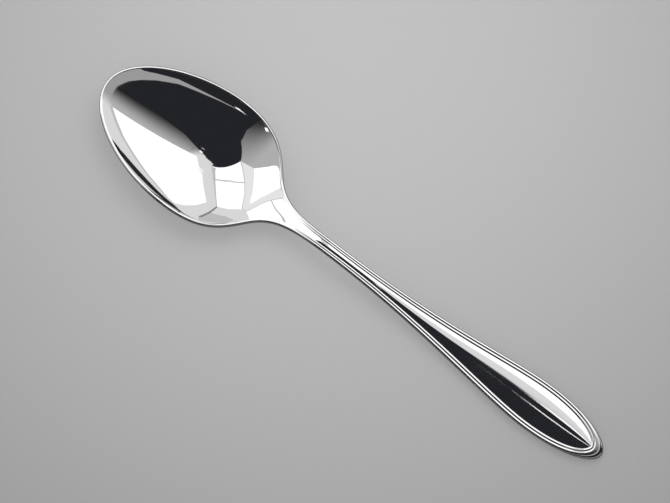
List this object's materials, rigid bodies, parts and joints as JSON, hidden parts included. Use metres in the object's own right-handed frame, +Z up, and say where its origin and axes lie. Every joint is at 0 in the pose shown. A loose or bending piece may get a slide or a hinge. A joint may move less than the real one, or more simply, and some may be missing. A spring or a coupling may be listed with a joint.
{
  "type": "tablespoon",
  "caption": "Polished steel tablespoon with a deep egg-shaped bowl, a slim neck and a leaf-shaped handle with a raised thread border round a softly ridged panel.",
  "frame": {"origin": "on the table under the middle of the spoon's length", "axes": "+X from the bowl towards the end of the handle, +Z up out of the bowl"},
  "size_m": [0.205, 0.045, 0.0115],
  "materials": {
    "polished_steel": "mirror-polished stainless steel"
  },
  "bodies": {
    "root": {"bowl": "polished_steel", "handle": "polished_steel"}
  },
  "joints": []
}
